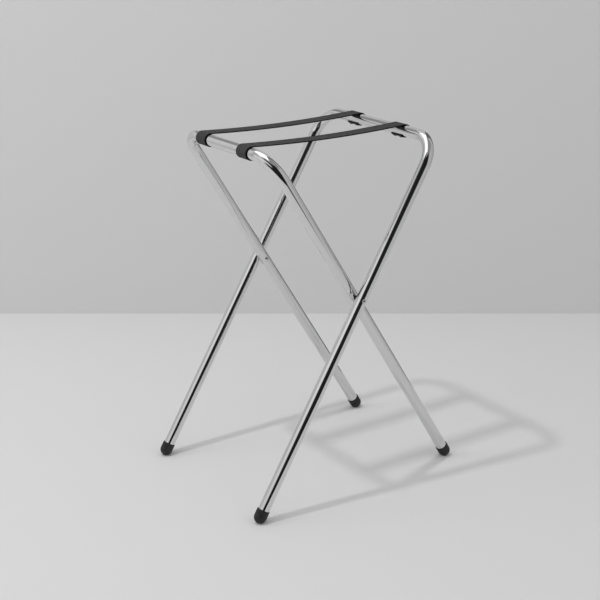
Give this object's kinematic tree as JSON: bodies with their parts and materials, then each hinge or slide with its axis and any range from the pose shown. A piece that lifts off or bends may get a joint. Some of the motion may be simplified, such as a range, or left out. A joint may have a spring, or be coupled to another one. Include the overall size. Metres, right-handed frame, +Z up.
{
  "type": "folding tray stand",
  "caption": "Folding tray stand: crossed chromed tube frames on riveted pivots, black webbing straps over the top bars, domed rubber feet.",
  "frame": {"origin": "on the floor, under the pivot axis, at the middle of the open stand", "axes": "+Z up; +Y along the top bars and the pivot axis, towards the rear; +X towards the outer frame's top bar"},
  "size_m": [0.5604, 0.4506, 0.7908],
  "materials": {
    "chrome_tube": "polished",
    "rivet_steel": "zinc plated, satin",
    "strap_rivet_black": "black coated, satin",
    "spacer_nylon": "moulded, matte",
    "strap_webbing": "tight flat weave",
    "foot_rubber": "moulded, matte"
  },
  "bodies": {
    "outer_leg_frame": {"outer_frame": "chrome_tube", "front_pivot_rivet": "rivet_steel", "rear_pivot_rivet": "rivet_steel", "front_pivot_spacer": "spacer_nylon", "rear_pivot_spacer": "spacer_nylon", "front_pivot_washer": "rivet_steel", "rear_pivot_washer": "rivet_steel", "front_strap": "strap_webbing", "rear_strap": "strap_webbing", "outer_front_strap_rivets": "strap_rivet_black", "outer_front_strap_washers": "strap_rivet_black", "outer_front_foot": "foot_rubber", "outer_rear_strap_rivets": "strap_rivet_black", "outer_rear_strap_washers": "strap_rivet_black", "outer_rear_foot": "foot_rubber"},
    "inner_leg_frame": {"inner_frame": "chrome_tube", "inner_front_strap_rivets": "strap_rivet_black", "inner_front_strap_washers": "strap_rivet_black", "inner_front_foot": "foot_rubber", "inner_rear_strap_rivets": "strap_rivet_black", "inner_rear_strap_washers": "strap_rivet_black", "inner_rear_foot": "foot_rubber"}
  },
  "joints": [
    {"name": "fold", "type": "hinge", "parent": "outer_leg_frame", "child": "inner_leg_frame", "pos_m": [0, 0, 0.44875], "axis": [0, 1, 0], "range_deg": [0, 57.5], "deforming": ["front_strap", "rear_strap"]}
  ]
}
